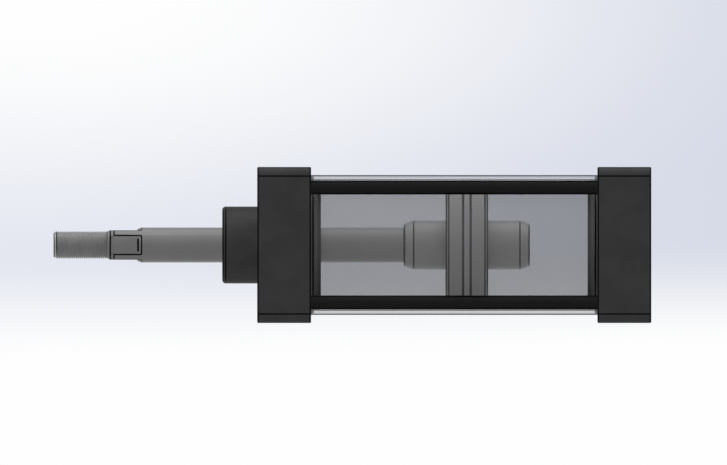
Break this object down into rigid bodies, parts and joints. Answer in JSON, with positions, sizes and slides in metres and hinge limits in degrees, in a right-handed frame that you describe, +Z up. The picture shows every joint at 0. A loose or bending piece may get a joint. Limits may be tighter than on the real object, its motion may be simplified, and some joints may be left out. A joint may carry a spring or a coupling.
{
  "type": "pneumatic actuator",
  "caption": "Double-acting tie-rod air cylinder with a clear barrel, cushioned piston, square end heads, top ports and a threaded rod end with wrench flats.",
  "frame": {"origin": "on the cylinder axis, in the outer face of the front head, at the root of the gland's pilot", "axes": "+X along the cylinder axis to the rear head (the rod points to -X), +Z up out of the air ports, +Y across"},
  "size_m": [0.427, 0.1116, 0.1116],
  "materials": {
    "heads": "dark grey anodised, fine machined grain",
    "barrel": "clear smoke-grey tube, polished",
    "gaskets": "black flat gasket",
    "tie_rods": "black oxide, drawn",
    "nuts": "zinc plated",
    "washers": "zinc plated",
    "bushing": "sintered bronze",
    "rod_seal": "black polyurethane",
    "cushion_seals": "black polyurethane",
    "clips": "phosphated spring steel",
    "needles": "turned brass",
    "o_rings": "black nitrile",
    "piston_seal": "graphite filled",
    "rod": "hard chromed, ground",
    "piston": "turned",
    "cushions": "turned and polished",
    "piston_screw": "black oxide"
  },
  "bodies": {
    "cylinder_body": {"front_head": "heads", "rear_head": "heads", "barrel_tube": "barrel", "front_tube_gasket": "gaskets", "rear_tube_gasket": "gaskets", "tie_rod_1": "tie_rods", "tie_rod_2": "tie_rods", "tie_rod_3": "tie_rods", "tie_rod_4": "tie_rods", "front_tie_rod_nuts": "nuts", "rear_tie_rod_nuts": "nuts", "front_tie_rod_washers": "washers", "rear_tie_rod_washers": "washers", "rod_gland": "heads", "rod_gland_seal": "o_rings", "rod_bushing": "bushing", "rod_wiper_seal": "rod_seal", "front_cushion_seal": "cushion_seals", "rear_cushion_seal": "cushion_seals", "front_needle_clip": "clips", "rear_needle_clip": "clips"},
    "piston_rings": {"piston_seal_ring": "piston_seal", "piston_seal_energiser": "o_rings"},
    "rod_assembly": {"piston_rod": "rod", "piston": "piston", "piston_static_seal": "o_rings", "front_cushion_sleeve": "cushions", "rear_cushion_plunger": "cushions", "piston_screw": "piston_screw"},
    "front_needle_ring": {"front_needle_seal": "o_rings"},
    "front_needle_screw": {"front_cushion_needle": "needles"},
    "rear_needle_ring": {"rear_needle_seal": "o_rings"},
    "rear_needle_screw": {"rear_cushion_needle": "needles"}
  },
  "joints": [
    {"name": "rod_slide", "type": "slide", "parent": "cylinder_body", "child": "piston_rings", "axis": [-1, 0, 0], "range_m": [-0.071, 0.089]},
    {"name": "rod_turn", "type": "hinge", "parent": "piston_rings", "child": "rod_assembly", "pos_m": [0, 0, 0], "axis": [1, 0, 0], "continuous": true},
    {"name": "front_needle_travel", "type": "slide", "parent": "cylinder_body", "child": "front_needle_ring", "axis": [0, 0, 1], "range_m": [-0.0015, 0.0015]},
    {"name": "front_needle_turn", "type": "hinge", "parent": "front_needle_ring", "child": "front_needle_screw", "pos_m": [0.01925, 0.022, 0.045], "axis": [0, 0, 1], "range_deg": [-541, 541]},
    {"name": "rear_needle_travel", "type": "slide", "parent": "cylinder_body", "child": "rear_needle_ring", "axis": [0, 0, 1], "range_m": [-0.0015, 0.0015]},
    {"name": "rear_needle_turn", "type": "hinge", "parent": "rear_needle_ring", "child": "rear_needle_screw", "pos_m": [0.26225, 0.022, 0.045], "axis": [0, 0, 1], "range_deg": [-541, 541]}
  ],
  "couplings": [
    {"joint": "front_needle_turn", "follows": "front_needle_travel", "rad_per_m": 6283.2},
    {"joint": "rear_needle_turn", "follows": "rear_needle_travel", "rad_per_m": 6283.2}
  ]
}
